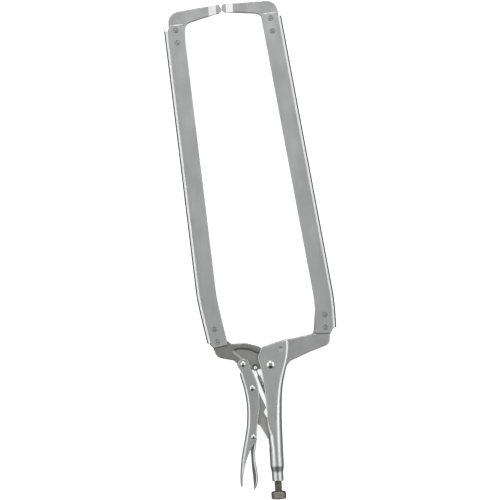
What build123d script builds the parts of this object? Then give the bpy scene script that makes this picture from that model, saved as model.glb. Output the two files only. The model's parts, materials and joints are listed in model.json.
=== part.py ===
from build123d import *
import os

# Long-reach locking C clamp, lying flat, closed and locked. Millimetres, +Z up.
# Everything is first drawn about the jaw pivot, with Z measured from the clamp's middle plane:
# +Y runs from the adjusting knob to the jaw tips, along the fixed handle's own axis.
# export_node() then shifts each piece, so that the origin is the bottom centre of the whole clamp.
PIVOT_IN_PART = (11.9, -137.15, 14.0)

# Overall sizes
REST_HALF_HEIGHT = PIVOT_IN_PART[2]  # the arm flanges' free edges are what the clamp lies on
HANDLE_WIDTH = 16.4  # across both side plates of either handle
HANDLE_SHEET = 2.5
CHANNEL_HALF = HANDLE_WIDTH / 2 - HANDLE_SHEET  # half of the gap between the side plates
JAW_THICKNESS = 11.0  # forgings between the side plates
TONGUE_THICKNESS = 9.0  # forged bars, and the tongues that the arms are riveted to
JAW_EDGE = 0.9  # rounding round the forgings' flat faces
TIP_EDGE = 0.7
PLATE_EDGE = 0.8  # rounding of the handles' cut edges
ARM_SHEET = 2.4
WEB_BOTTOM = TONGUE_THICKNESS / 2
WEB_TOP = WEB_BOTTOM + ARM_SHEET
ARM_WIDTH = 23.8
ARM_BEND_RADIUS = 250.0  # the slight kink near each arm's foot
FLANGE_CHAMFER = (1.2, 0.6)  # dressed inner corner of each flange's free edge: across it and down it
WEB_EDGE = 0.7  # rounding of the webs' cut edges
FOLD_INSIDE_RADIUS = 1.6
FOLD_SECTIONS = 12  # cross sections along each folded handle

# Pivots, about the jaw pivot
JAW_PIVOT = (0.0, 0.0)
HANDLE_PIVOT = (-32.9, 2.6)
LINK_PIVOT = (-23.3, -26.8)
LINK_END = (-2.7, -91.8)
LEVER_PIVOT = (-25.2, -85.1)
SPRING_HOLE = (-18.3, -2.9)
SPRING_ANCHOR = (-2.0, -50.0)

# Rivets: shank radius, head radius, head height
MAIN_RIVET = (3.5, 4.6, 1.7)
PIVOT_RIVET = (2.5, 3.4, 1.5)
LEVER_RIVET = (1.9, 2.6, 1.1)
ARM_RIVET = (2.5, 3.4, 0.9)
HEAD_RIM = 0.3  # straight rim under each domed head
RUNNING_FIT = 0.05  # radial clearance where one piece turns or slides on another
PRESSED_FIT = 0.02  # radial clearance in a hole that a rivet fills

NOTCH_Y = -7.0  # bottom of the notch below the movable handle's ears

# Fixed handle's tube and the adjusting screw (3/8 inch, 16 threads an inch)
AXIS_X = 1.2
TUBE_END_Y = -122.0
COLLAR_TOP_Y = -129.0
COLLAR_END_Y = -140.0
COLLAR_RADIUS = 6.8
CURL_START_Y = -64.0  # from here on the plates' open edges curl towards each other
CURL_END_Y = -84.0  # from here on the handle is round, with a slot for the link
SLOT_END_Y = -101.0
SLOT_HALF_WIDTH = 3.3
CURL_OUTLINE = [(-7.5, CURL_START_Y), (-8.1, -82.0), (-7.0, SLOT_END_Y)]  # how far the open side reaches
CURL_SECTIONS = 10
SQUARE_CORNER = 0.6  # rounding of the plates' edges before they curl
LEFT_STRAIGHT = 0.1  # straight left beside a full rounding
SCREW_RADIUS = 4.7
SCREW_TIP_Y = -99.8
SCREW_FOOT_Y = -158.0
KNOB_RADIUS = 9.0
KNOB_TOP_Y = -152.2
KNOB_END_Y = -161.7
KNOB_EDGE = 2.2

# Spring
COIL_RADIUS = 2.5
SPRING_WIRE = 0.9

# Left (movable) and right (fixed) arm: outer face of the flange, from the top to the foot,
# then the web's corners beyond the flange at the top and at the foot, and the rivets.
MOVABLE_ARM = {
    "outer": [(-105.0, 405.5), (-83.7, 81.6), (-74.1, 29.4)],
    "top": [(-97.6, 412.6, 1.5), (-82.3, 413.4, 1.0)],
    "foot": [(-66.4, 23.5, 1.5), (-51.0, 26.1, 1.0)],
    "rivets": [(-91.1, 406.5), (-89.8, 391.4), (-64.7, 46.3), (-62.0, 31.1)],
}
FIXED_ARM = {
    "outer": [(36.0, 416.5), (80.9, 72.4), (81.1, 40.5)],
    "top": [(29.6, 421.9, 1.5), (12.8, 420.4, 1.0)],
    "foot": [(74.2, 33.7, 1.5), (55.6, 34.4, 1.0)],
    "rivets": [(23.3, 414.9), (24.7, 399.2), (68.6, 56.3), (68.4, 41.2)],
}


def outline(corners):
    """Closed outline from corners given as (x, y, rounding radius)."""
    points = [(x, y) for x, y, _ in corners]
    radii = [radius for _, _, radius in corners]
    return Face(FilletPolyline(*points, radius=radii, close=True))


def upright(face, height, bottom=0.0):
    """The face extruded along +Z, from that bottom."""
    return Pos(0, 0, bottom) * extrude(face, height, dir=(0, 0, 1))


def slab(corners, thickness):
    """Flat piece of that outline, half of its thickness on each side of the middle plane."""
    return upright(outline(corners), thickness, -thickness / 2)


def disc(centre, radius, thickness):
    return Pos(centre[0], centre[1], 0) * Cylinder(radius, thickness)


def opening(low, high, thickness):
    """Block between two corners (x, y), half of its thickness on each side of the middle plane."""
    width, length = high[0] - low[0], high[1] - low[1]
    return Pos((low[0] + high[0]) / 2, (low[1] + high[1]) / 2, 0) * Box(width, length, thickness)


def both_faces(piece):
    """The piece and its mirror image on the other side of the middle plane."""
    return piece + mirror(piece, Plane.XY)


def turned(profile_points):
    """Solid of revolution about the screw's axis, from (radius, y) corners with rounding radii."""
    points = [(x, y) for x, y, _ in profile_points]
    radii = [radius for _, _, radius in profile_points]
    face = Face(FilletPolyline(*points, radius=radii, close=True))
    return Pos(AXIS_X, 0, 0) * revolve(face, Axis.Y)


def rivet(centre, size, grip):
    """Rivet along Z whose two domed heads close on a stack as thick as the grip."""
    shank, head, height = size
    seat = grip / 2
    rim = seat + HEAD_RIM
    crown = seat + height
    dome = TangentArc((0, crown), (head, rim), tangent=(1, 0))
    steps = Polyline((head, rim), (head, seat), (shank, seat), (shank, 0), (0, 0), (0, crown))
    profile = Plane.XZ * make_face([*dome.edges(), *steps.edges()])
    return Pos(centre[0], centre[1], 0) * both_faces(revolve(profile, Axis.Z))


def channel_section(y, back, front, half_width, back_radius, front_radius):
    """Rounded rectangle across a folded handle, at one place along it."""
    corners = [
        (back, half_width, back_radius),
        (front, half_width, front_radius),
        (front, -half_width, front_radius),
        (back, -half_width, back_radius),
    ]
    across = Plane(origin=(0, y, 0), x_dir=(1, 0, 0), z_dir=(0, -1, 0))
    return across * outline(corners)


def folded(back_points, radii, front, half_width, sheet, inset):
    """Loft along a folded channel whose back follows a smooth line.

    The fold's radius blends from the first of radii to the last. inset moves every wall inwards,
    which makes the hollow.
    """
    back_line = Spline(*back_points)
    sections = []
    for step in range(FOLD_SECTIONS):
        share = step / (FOLD_SECTIONS - 1)
        place = back_line @ share
        blend = share * share * (3 - 2 * share)
        radius = radii[0] + (radii[1] - radii[0]) * blend
        into = inset if front > place.X else -inset
        inner_radius = max(radius - inset, sheet / 4)
        sections.append(
            channel_section(place.Y, place.X + into, front, half_width - inset, inner_radius, sheet / 4)
        )
    return loft(sections)


def bent_line(points, shift):
    """An arm's long edge with its slight kink, shifted sideways."""
    return FilletPolyline(*[(x + shift, y) for x, y in points], radius=ARM_BEND_RADIUS)


def ribbon(first, second):
    """Flat face between two long edges of an arm."""
    ends = [Line(first @ 0, second @ 0), Line(first @ 1, second @ 1)]
    return make_face([*first.edges(), *second.edges(), *[end.edge() for end in ends]])


def arm_angle(arm):
    """Folded L-shaped half of an arm, on the +Z side: a flat web and an outer flange."""
    inward = 1 if arm["outer"][0][0] < 0 else -1
    face_line = bent_line(arm["outer"], 0)
    back_line = bent_line(arm["outer"], inward * ARM_SHEET)
    inner_line = bent_line(arm["outer"], inward * ARM_WIDTH)
    web = upright(ribbon(face_line, inner_line), ARM_SHEET)
    flange = upright(ribbon(face_line, back_line), REST_HALF_HEIGHT - WEB_BOTTOM)
    angle = web + flange
    inside = [edge for edge in angle.edges() if lies_over(edge, back_line, ARM_SHEET)]
    angle = fillet(inside, FOLD_INSIDE_RADIUS)
    outside = [edge for edge in angle.edges() if lies_over(edge, face_line, 0)]
    angle = fillet(outside, FOLD_INSIDE_RADIUS + ARM_SHEET / 2)
    angle = dressed_flange(angle, back_line)
    for (x, y), corners in ((arm["outer"][0], arm["top"]), (arm["outer"][2], arm["foot"])):
        ends = [(x + inward * 1.5 * ARM_SHEET, y, 0), *corners, (x + inward * ARM_WIDTH, y, 0)]
        angle += web_end(ends, y)
    angle = Pos(0, 0, WEB_BOTTOM) * angle
    for x, y in arm["rivets"]:
        angle -= disc((x, y), ARM_RIVET[0] + PRESSED_FIT, 4 * WEB_TOP)
    return angle


def dressed_flange(angle, back_line):
    """The arm's angle with the inner corner of the flange's free edge chamfered."""
    height = REST_HALF_HEIGHT - WEB_BOTTOM
    rim = [edge for edge in angle.edges() if lies_over(edge, back_line, height)]
    free_edge = angle.faces().sort_by(Axis.Z)[-1]
    across, down = FLANGE_CHAMFER
    return chamfer(rim, across, down, reference=free_edge)


def web_end(corners, base_y):
    """Flat end of a web beyond its flange, rounded over along its cut edges."""
    end = upright(outline(corners), ARM_SHEET)
    top_edges = [edge for edge in end.edges() if is_level(edge, ARM_SHEET)]
    cut = [edge for edge in top_edges if abs((edge @ 0.5).Y - base_y) > 0.5]
    return fillet(cut, WEB_EDGE)


def lies_over(edge, line, height):
    """True for an edge at that height which follows the line along the arm."""
    place = edge @ 0.5
    level = abs((edge @ 0).Z - height) < 0.01 and abs((edge @ 1).Z - height) < 0.01
    return level and line.distance_to(Vertex(place.X, place.Y, 0)) < 0.01 and edge.length > 5


def drill_arm_rivets(piece, arm, places):
    for x, y in arm["rivets"][places]:
        piece -= disc((x, y), ARM_RIVET[0] + PRESSED_FIT, 2 * JAW_THICKNESS)
    return piece


def arm_rivets(arm, places):
    return Compound(children=[rivet(place, ARM_RIVET, 2 * WEB_TOP) for place in arm["rivets"][places]])


def softened(piece, half_height, radius):
    """The piece with the edges of its two flat faces rounded over."""
    rims = [edge for edge in piece.edges() if is_level(edge, half_height) or is_level(edge, -half_height)]
    return fillet(rims, radius)


def largest(piece):
    """The piece without the scraps that a cut leaves."""
    return max(piece.solids(), key=lambda solid: solid.volume)


def is_level(edge, height):
    """True for an edge that lies flat at that height."""
    return all(abs((edge @ share).Z - height) < 0.01 for share in (0, 0.5, 1))


def rounded_cut(handle, view):
    """The folded handle with the outer cut edges of its side plates rounded over."""
    half = HANDLE_WIDTH / 2
    cut_line = view.face().outer_wire()
    cut = []
    for edge in handle.edges():
        place = edge @ 0.5
        on_cut = cut_line.distance_to(Vertex(place.X, place.Y, 0)) < 0.05
        if on_cut and (is_level(edge, half) or is_level(edge, -half)):
            cut.append(edge)
    return fillet(cut, PLATE_EDGE)


def nose_bevels(bevel_x, nose_x, nose_thickness, cut_low, cut_high):
    """The two wedges ground off a jaw tip, so that it thins towards its nose."""
    reach = 8.0 if nose_x > bevel_x else -8.0
    wedge = Polyline(
        (bevel_x, TONGUE_THICKNESS / 2),
        (nose_x, nose_thickness / 2),
        (nose_x + reach, nose_thickness / 2),
        (nose_x + reach, TONGUE_THICKNESS),
        (bevel_x, TONGUE_THICKNESS),
        close=True,
    )
    side = Plane(origin=(0, cut_low, 0), x_dir=(1, 0, 0), z_dir=(0, -1, 0)) * Face(Wire(wedge.edges()))
    return both_faces(extrude(side, cut_high - cut_low, dir=(0, 1, 0)))


def movable_tip_jaw():
    """Forged upper left bar: a tongue between the arm's webs, a corner and the jaw tip."""
    corners = [
        (-99.0, 383.0, 2.0), (-100.0, 427.3, 14.0), (-50.0, 433.4, 0.0), (-38.4, 434.6, 1.5),
        (-35.15, 429.4, 1.5), (-35.15, 427.0, 1.0), (-38.6, 423.4, 2.0), (-42.4, 423.3, 6.0),
        (-79.9, 413.4, 9.0), (-80.6, 384.0, 2.0),
    ]
    bar = softened(slab(corners, TONGUE_THICKNESS), TONGUE_THICKNESS / 2, TIP_EDGE)
    bar -= nose_bevels(-50.6, -41.6, 5.0, 415.0, 440.0)
    return drill_arm_rivets(bar, MOVABLE_ARM, slice(0, 2))


def fixed_tip_jaw():
    """Forged upper right bar, which meets the movable tip."""
    corners = [
        (35.8, 391.0, 2.0), (31.3, 436.2, 14.0), (-20.0, 435.3, 0.0), (-34.85, 434.9, 3.4),
        (-34.85, 427.6, 1.5), (-31.5, 424.7, 2.0), (-21.0, 424.2, 8.0), (12.2, 421.0, 9.0),
        (16.9, 390.0, 2.0),
    ]
    bar = softened(slab(corners, TONGUE_THICKNESS), TONGUE_THICKNESS / 2, TIP_EDGE)
    bar -= nose_bevels(-21.2, -29.6, 5.0, 415.0, 440.0)
    return drill_arm_rivets(bar, FIXED_ARM, slice(0, 2))


def step_down(corners):
    """Cutter that thins a jaw's tongue from the jaw's thickness to the tongue's, on both faces."""
    return both_faces(upright(outline(corners), JAW_THICKNESS, TONGUE_THICKNESS / 2))


def cheek_recess():
    """Cutter for the shallow recess in each cheek of the movable jaw, with sloping walls."""
    floor = [
        (-43.2, 18.8, 0.8), (-36.0, 20.4, 6.0), (-24.5, 18.6, 9.0), (-12.0, 12.6, 0.8),
        (-12.0, -8.0, 0.8), (-15.0, -8.0, 0.8),
    ]
    depth = 1.5
    slope = -57
    pocket = extrude(outline(floor), 2 * depth, dir=(0, 0, 1), taper=slope)
    return both_faces(Pos(0, 0, JAW_THICKNESS / 2 - depth) * pocket)


def movable_jaw():
    """Forged left jaw: tongue, elbow, recessed cheek and the lugs round three holes."""
    corners = [
        (-59.0, 61.0, 2.0), (-78.9, 61.0, 2.0), (-73.2, 31.0, 6.0), (-67.4, 23.5, 3.0),
        (-63.6, 11.9, 11.0), (-44.0, 7.6, 4.0), (-38.0, 2.0, 0.0), (-34.0, -2.0, 0.0),
        (-20.0, -5.6, 2.0), (-13.0, -4.6, 0.0), (-6.0, -6.0, 0.0), (-4.0, 14.0, 2.0),
        (-12.6, 22.4, 6.0), (-27.5, 27.1, 16.0), (-45.5, 27.3, 4.0), (-51.4, 31.6, 5.0),
    ]
    jaw = slab(corners, JAW_THICKNESS)
    jaw += disc(HANDLE_PIVOT, 6.9, JAW_THICKNESS)
    jaw += disc(SPRING_HOLE, 3.8, JAW_THICKNESS)
    jaw += disc(JAW_PIVOT, 11.5, JAW_THICKNESS)
    jaw = softened(jaw, JAW_THICKNESS / 2, JAW_EDGE)
    jaw -= cheek_recess()
    # Around the spring's hole the lug is thin, so that the hook can pass.
    hook_room = disc(SPRING_HOLE, 4.6, JAW_THICKNESS) - disc(SPRING_HOLE, 4.7, 3.0)
    jaw -= hook_room
    jaw -= step_down([
        (-90.0, 22.0, 0.0), (-67.6, 22.0, 0.0), (-50.6, 24.9, 0.0), (-40.0, 40.0, 0.0),
        (-50.0, 70.0, 0.0), (-90.0, 70.0, 0.0),
    ])
    jaw -= disc(JAW_PIVOT, MAIN_RIVET[0] + RUNNING_FIT, 2 * JAW_THICKNESS)
    jaw -= disc(HANDLE_PIVOT, PIVOT_RIVET[0] + RUNNING_FIT, 2 * JAW_THICKNESS)
    jaw -= disc(SPRING_HOLE, 1.8, 2 * JAW_THICKNESS)
    return drill_arm_rivets(jaw, MOVABLE_ARM, slice(2, 4))


def fixed_jaw():
    """Forged right jaw: held between the fixed handle's plates, then out to an elbow and up."""
    corners = [
        (57.6, 68.0, 2.0), (79.0, 68.0, 2.0), (79.3, 42.0, 5.0), (73.6, 33.0, 4.0),
        (72.3, 20.8, 9.0), (48.0, 12.8, 0.0), (24.0, 3.2, 6.0), (19.0, -2.9, 1.5),
        (1.5, -2.9, 0.0), (1.5, 24.4, 1.0), (19.0, 28.4, 0.0), (44.0, 32.6, 20.0),
        (53.4, 34.2, 4.0),
    ]
    jaw = softened(slab(corners, JAW_THICKNESS), JAW_THICKNESS / 2, JAW_EDGE)
    lug_room = 12.0
    jaw -= disc(JAW_PIVOT, lug_room, 2 * JAW_THICKNESS)
    jaw -= step_down([
        (53.8, 33.0, 0.0), (90.0, 33.0, 0.0), (90.0, 80.0, 0.0), (45.0, 80.0, 0.0), (45.0, 40.0, 0.0),
    ])
    return drill_arm_rivets(jaw, FIXED_ARM, slice(2, 4))


def fixed_handle_view():
    """Side view of the fixed handle's plates, down to where it is a plain tube."""
    left_edge = Spline(
        (-11.2, -6.0), (-8.9, -28.0), (-7.6, -52.0), (-7.2, -76.0), (-7.1, -100.0),
    )
    ear = FilletPolyline(
        (-11.2, -6.0), (-14.9, 9.5), (-9.6, 21.4), (19.0, 29.2), (40.0, 29.2), radius=[6.0, 8.0, 30.0]
    )
    rest = Polyline((-7.1, -100.0), (-7.1, TUBE_END_Y), (40.0, TUBE_END_Y), (40.0, 29.2))
    return make_face([*left_edge.edges(), *ear.edges(), *rest.edges()])


def fixed_handle():
    """Sheet folded to a channel at the jaws, which closes to a tube with a threaded collar."""
    tube_radius = HANDLE_WIDTH / 2
    tube_back = AXIS_X + tube_radius
    back = [(23.2, 31.0), (21.6, 6.0), (14.9, -18.0), (11.3, -42.0), (9.8, -72.0), (tube_back, SLOT_END_Y)]
    radii = (4.5, tube_radius - LEFT_STRAIGHT)
    open_side = -25.0
    shell = folded(back, radii, open_side, tube_radius, HANDLE_SHEET, 0)
    hollow = folded(back, radii, open_side, tube_radius, HANDLE_SHEET, HANDLE_SHEET)
    view = fixed_handle_view()
    handle = (shell & upright(view, HANDLE_WIDTH, -HANDLE_WIDTH / 2)) - hollow
    handle = rounded_cut(handle, view)
    # The jaw forging leaves between the plates, so there is no folded back beside it.
    handle -= opening((3.0, -3.0), (37.0, 37.0), 2 * CHANNEL_HALF)
    handle -= curl_room()
    handle += curled_half()
    handle -= weld_dimples()
    handle += turned([
        (0.0, SLOT_END_Y, 0.0), (tube_radius, SLOT_END_Y, 0.0), (tube_radius, TUBE_END_Y, 4.0),
        (COLLAR_RADIUS, COLLAR_TOP_Y, 1.5), (COLLAR_RADIUS, COLLAR_END_Y, 0.8), (0.0, COLLAR_END_Y, 0.0),
    ])
    wall = tube_radius - CHANNEL_HALF
    bore_end = TUBE_END_Y - wall
    handle -= turned([
        (0.0, SLOT_END_Y + 1, 0.0), (CHANNEL_HALF, SLOT_END_Y + 1, 0.0), (CHANNEL_HALF, bore_end, 1.0),
        (0.0, bore_end, 0.0),
    ])
    handle -= screw_hole()
    handle -= disc(JAW_PIVOT, MAIN_RIVET[0] + PRESSED_FIT, 2 * HANDLE_WIDTH)
    return handle + spring_tab()


def curl(wall):
    """Solid loft down the curling part of the handle, inside its surface by that wall.

    The corners at the open side grow from nearly square until the handle is round.
    """
    half_width = HANDLE_WIDTH / 2
    full = half_width - LEFT_STRAIGHT
    beyond = AXIS_X + 2 * HANDLE_WIDTH
    open_side = Spline(*CURL_OUTLINE)
    sections = []
    for step in range(CURL_SECTIONS):
        place = open_side @ (step / (CURL_SECTIONS - 1))
        grown = min(1.0, (CURL_START_Y - place.Y) / (CURL_START_Y - CURL_END_Y))
        radius = SQUARE_CORNER + (full - SQUARE_CORNER) * grown ** 1.5
        inner_radius = max(radius - wall, SQUARE_CORNER / 2)
        sections.append(
            channel_section(place.Y, beyond, place.X + wall, half_width - wall, SQUARE_CORNER, inner_radius)
        )
    return loft(sections, ruled=True)


def curl_room():
    """The handle's open half, over the length that curls."""
    width = HANDLE_WIDTH + 2
    return opening((AXIS_X - width, SLOT_END_Y), (AXIS_X, CURL_START_Y), width)


def curled_half():
    """The plates' edges curled towards each other, with the slot that the link swings in between them."""
    curled = (curl(0) & curl_room()) - curl(HANDLE_SHEET)
    left = AXIS_X - HANDLE_WIDTH
    round_end = SLOT_HALF_WIDTH - LEFT_STRAIGHT
    narrowing = 10.0  # rounding where the slot reaches its full narrowness
    slot = [
        (SLOT_END_Y, SLOT_HALF_WIDTH, round_end), (CURL_END_Y, SLOT_HALF_WIDTH, narrowing),
        (CURL_START_Y, CHANNEL_HALF, 0.0), (CURL_START_Y, -CHANNEL_HALF, 0.0),
        (CURL_END_Y, -SLOT_HALF_WIDTH, narrowing), (SLOT_END_Y, -SLOT_HALF_WIDTH, round_end),
    ]
    side = Plane(origin=(left, 0, 0), x_dir=(0, 1, 0), z_dir=(1, 0, 0)) * outline(slot)
    return curled - extrude(side, HANDLE_WIDTH, dir=(1, 0, 0))


def weld_dimples():
    """Shallow dimple in each plate, near the top of the folded back."""
    x, y = 13.5, 18.0
    ball = 14.0
    depth = 0.4
    return both_faces(Pos(x, y, HANDLE_WIDTH / 2 + ball - depth) * Sphere(ball))


def screw_hole():
    length = 60.0
    return Pos(AXIS_X, COLLAR_END_Y, 0) * Rot(90, 0, 0) * Cylinder(SCREW_RADIUS + RUNNING_FIT, length)


def spring_tab():
    """Hook tab struck inwards from the folded back, with the hole that the spring hangs in."""
    x, y = SPRING_ANCHOR
    thickness = 1.6
    corners = [(x - 2.4, y - 3.0, 1.5), (x - 2.4, y + 3.0, 1.5), (8.6, y + 4.0, 0.0), (8.6, y - 4.0, 0.0)]
    return slab(corners, thickness) - disc((x, y), 1.1, 2 * thickness)


def movable_handle_view():
    """Side view of the movable handle's plates, trimming its open side, its ears and its tail."""
    front = Spline(
        (-24.9, -2.0), (-18.4, -17.6), (-15.5, -40.0), (-18.2, -63.0), (-20.8, -78.0), (-21.2, -88.9)
    )
    tail = Spline((-21.2, -88.9), (-29.2, -99.9), (-35.9, -115.2), (-39.7, -129.4), (-41.6, -144.0))
    ear = FilletPolyline(
        (-24.9, -2.0), (-26.0, 8.9), (-39.4, 8.9), (-39.4, 0.0), (-34.9, NOTCH_Y), (-38.6, -10.6),
        (-60.0, -10.6), radius=[6.6, 6.6, 4.0, 1.6, 0.6],
    )
    rest = Polyline((-60.0, -10.6), (-60.0, -144.0), (-41.6, -144.0))
    return make_face([*front.edges(), *tail.edges(), *ear.edges(), *rest.edges()])


def flat_ears(view):
    """The movable handle's two ears above its notch, with rounded cut edges."""
    above_notch = opening((-52.0, NOTCH_Y), (-12.0, 18.4), 2 * HANDLE_WIDTH)
    ear = upright(view, HANDLE_SHEET, CHANNEL_HALF) & above_notch
    rims = [edge for edge in ear.edges() if is_level(edge, HANDLE_WIDTH / 2)]
    cut = [edge for edge in rims if (edge @ 0.5).Y > NOTCH_Y + 0.1]
    return both_faces(fillet(cut, PLATE_EDGE))


def movable_handle():
    """Sheet folded to a channel that opens towards the fixed handle, with a bare curved tail."""
    back = [
        (-40.4, 12.0), (-38.1, -7.0), (-33.6, -26.0), (-31.1, -50.0), (-33.6, -78.0), (-39.6, -104.0),
        (-43.3, -128.0), (-43.4, -145.0),
    ]
    radii = (4.5, 4.5)
    open_side = 5.0
    shell = folded(back, radii, open_side, HANDLE_WIDTH / 2, HANDLE_SHEET, 0)
    hollow = folded(back, radii, open_side, HANDLE_WIDTH / 2, HANDLE_SHEET, HANDLE_SHEET)
    view = movable_handle_view()
    handle = (shell & upright(view, HANDLE_WIDTH, -HANDLE_WIDTH / 2)) - hollow
    handle = rounded_cut(handle, view)
    # Above the notch only the two flat ears go on, on each side of the jaw.
    handle -= opening((-52.0, NOTCH_Y - HANDLE_SHEET), (-12.0, 18.4), 2 * CHANNEL_HALF)
    handle -= opening((-52.0, NOTCH_Y), (-12.0, 18.4), 2 * HANDLE_WIDTH)
    handle = largest(handle) + flat_ears(view)
    handle -= disc(HANDLE_PIVOT, PIVOT_RIVET[0] + PRESSED_FIT, 2 * HANDLE_WIDTH)
    handle -= disc(LINK_PIVOT, PIVOT_RIVET[0] + PRESSED_FIT, 2 * HANDLE_WIDTH)
    handle -= disc(LEVER_PIVOT, LEVER_RIVET[0] + PRESSED_FIT, 2 * HANDLE_WIDTH)
    return handle


def toggle_link():
    """Plate from the movable handle to the screw's tip, with a stop nose and a release heel."""
    thickness = 6.0
    corners = [
        (-29.4, -29.0, 4.0), (-26.4, -66.6, 2.0), (-19.6, -70.4, 3.0), (-16.2, -72.4, 3.0),
        (-8.9, -86.6, 6.0), (-5.5, -92.6, 1.0), (-0.2, -93.4, 1.0), (0.3, -89.0, 3.0),
        (-5.0, -66.0, 2.0), (-8.4, -62.6, 1.5), (-11.4, -56.6, 3.0), (-8.2, -51.4, 1.0),
        (-17.2, -28.0, 4.0),
    ]
    link = slab(corners, thickness)
    link += disc(LINK_PIVOT, 6.4, thickness)
    link += disc(LINK_END, 3.0, thickness)
    return link - disc(LINK_PIVOT, PIVOT_RIVET[0] + RUNNING_FIT, 2 * thickness)


def release_lever():
    """Folded trigger inside the movable handle's channel, with its back towards the fingers."""
    sheet = 1.6
    half_width = CHANNEL_HALF - 0.3
    back = [
        (-21.4, -72.0), (-21.4, -86.0), (-23.6, -99.0), (-24.7, -112.0), (-22.9, -128.0), (-23.2, -140.0),
        (-27.6, -149.0),
    ]
    radii = (2.0, 2.6)
    open_side = -45.0
    shell = folded(back, radii, open_side, half_width, sheet, 0)
    hollow = folded(back, radii, open_side, half_width, sheet, sheet)
    front = Spline(
        (-29.7, -86.0), (-29.4, -100.0), (-29.2, -112.0), (-28.6, -128.0), (-28.0, -140.0), (-28.2, -149.0)
    )
    nose = FilletPolyline(
        (-29.7, -86.0), (-29.7, -80.0), (-24.5, -77.5), (-21.6, -80.0), (-19.0, -90.0), (-10.0, -100.0),
        (-10.0, -149.0), (-28.2, -149.0), radius=[3.5, 1.0, 1.0, 1.0, 0.5, 0.5],
    )
    view = make_face([*front.edges(), *nose.edges()])
    lever = (shell & upright(view, 2 * half_width, -half_width)) - hollow
    # Above the pivot only the two cheeks go on, so that the link's heel can pass between them.
    lever -= opening((-34.0, -88.5), (-10.0, -71.5), 2 * (half_width - sheet))
    return largest(lever) - disc(LEVER_PIVOT, LEVER_RIVET[0] + RUNNING_FIT, 2 * HANDLE_WIDTH)


def adjusting_screw():
    tip = 1.2
    return turned([
        (0.0, SCREW_TIP_Y, 0.0), (SCREW_RADIUS - tip, SCREW_TIP_Y, 0.0),
        (SCREW_RADIUS, SCREW_TIP_Y - tip, 0.0), (SCREW_RADIUS, SCREW_FOOT_Y, 0.0), (0.0, SCREW_FOOT_Y, 0.0),
    ])


def screw_knob():
    """Round knob with crowned edges, on the screw's foot."""
    knob = turned([
        (0.0, KNOB_TOP_Y, 0.0), (KNOB_RADIUS, KNOB_TOP_Y, KNOB_EDGE), (KNOB_RADIUS, KNOB_END_Y, KNOB_EDGE),
        (0.0, KNOB_END_Y, 0.0),
    ])
    end_room = 0.2
    socket_end = SCREW_FOOT_Y - end_room
    socket_radius = SCREW_RADIUS + RUNNING_FIT
    return knob - turned([
        (0.0, KNOB_TOP_Y + 1, 0.0), (socket_radius, KNOB_TOP_Y + 1, 0.0), (socket_radius, socket_end, 0.0),
        (0.0, socket_end, 0.0),
    ])


def tension_spring():
    """Envelope of the coil from the jaw's lug to the handle's tab, with a wire hook at each end."""
    start, end = Vector(*SPRING_HOLE), Vector(*SPRING_ANCHOR)
    along = (end - start).normalized()
    coil_start = start + along * 9.0
    coil_end = end - along * 5.0
    coil = Plane(origin=coil_start, z_dir=along) * Cylinder(
        COIL_RADIUS, (coil_end - coil_start).length, align=(Align.CENTER, Align.CENTER, Align.MIN)
    )
    return coil + spring_hook(start, coil_start, along) + spring_hook(end, coil_end, -along)


def spring_hook(hole, coil_face, along):
    """Wire from the coil's end over the edge of the hole, and down through it."""
    inside = coil_face + along * 1.0
    lift = Vector(0, 0, 2.9)
    far = hole + lift
    drop = hole - lift
    near = coil_face - along * 1.2 + Vector(0, 0, 1.8)
    path = FilletPolyline(inside, near, far, drop, radius=[0.8, 1.0])
    ring = Plane(origin=inside, z_dir=path % 0) * Circle(SPRING_WIRE / 2)
    return sweep(ring, path)


def export_node(name, piece):
    shifted = Pos(*PIVOT_IN_PART) * piece
    shifted.label = name
    export_step(shifted, f"parts/{name}.step")
    return shifted


def build():
    movable_angle = arm_angle(MOVABLE_ARM)
    fixed_angle = arm_angle(FIXED_ARM)
    return {
        "fixed_handle": fixed_handle(),
        "fixed_jaw": fixed_jaw(),
        "fixed_arm_front": fixed_angle,
        "fixed_arm_rear": mirror(fixed_angle, Plane.XY),
        "fixed_tip_jaw": fixed_tip_jaw(),
        "fixed_arm_tip_rivets": arm_rivets(FIXED_ARM, slice(0, 2)),
        "fixed_arm_foot_rivets": arm_rivets(FIXED_ARM, slice(2, 4)),
        "jaw_pivot_rivet": rivet(JAW_PIVOT, MAIN_RIVET, HANDLE_WIDTH),
        "tension_spring": tension_spring(),
        "movable_jaw": movable_jaw(),
        "movable_arm_front": movable_angle,
        "movable_arm_rear": mirror(movable_angle, Plane.XY),
        "movable_tip_jaw": movable_tip_jaw(),
        "movable_arm_tip_rivets": arm_rivets(MOVABLE_ARM, slice(0, 2)),
        "movable_arm_foot_rivets": arm_rivets(MOVABLE_ARM, slice(2, 4)),
        "movable_handle": movable_handle(),
        "handle_pivot_rivet": rivet(HANDLE_PIVOT, PIVOT_RIVET, HANDLE_WIDTH),
        "link_pivot_rivet": rivet(LINK_PIVOT, PIVOT_RIVET, HANDLE_WIDTH),
        "lever_pivot_rivet": rivet(LEVER_PIVOT, LEVER_RIVET, HANDLE_WIDTH),
        "toggle_link": toggle_link(),
        "release_lever": release_lever(),
        "adjusting_screw": adjusting_screw(),
        "screw_knob": screw_knob(),
    }


os.makedirs("parts", exist_ok=True)
nodes = [export_node(name, piece) for name, piece in build().items()]
whole = Compound(children=nodes).bounding_box()
print("size", whole.size)
print("centre", whole.center())
print("lowest", whole.min.Z)
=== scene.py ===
import json
import math

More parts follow.
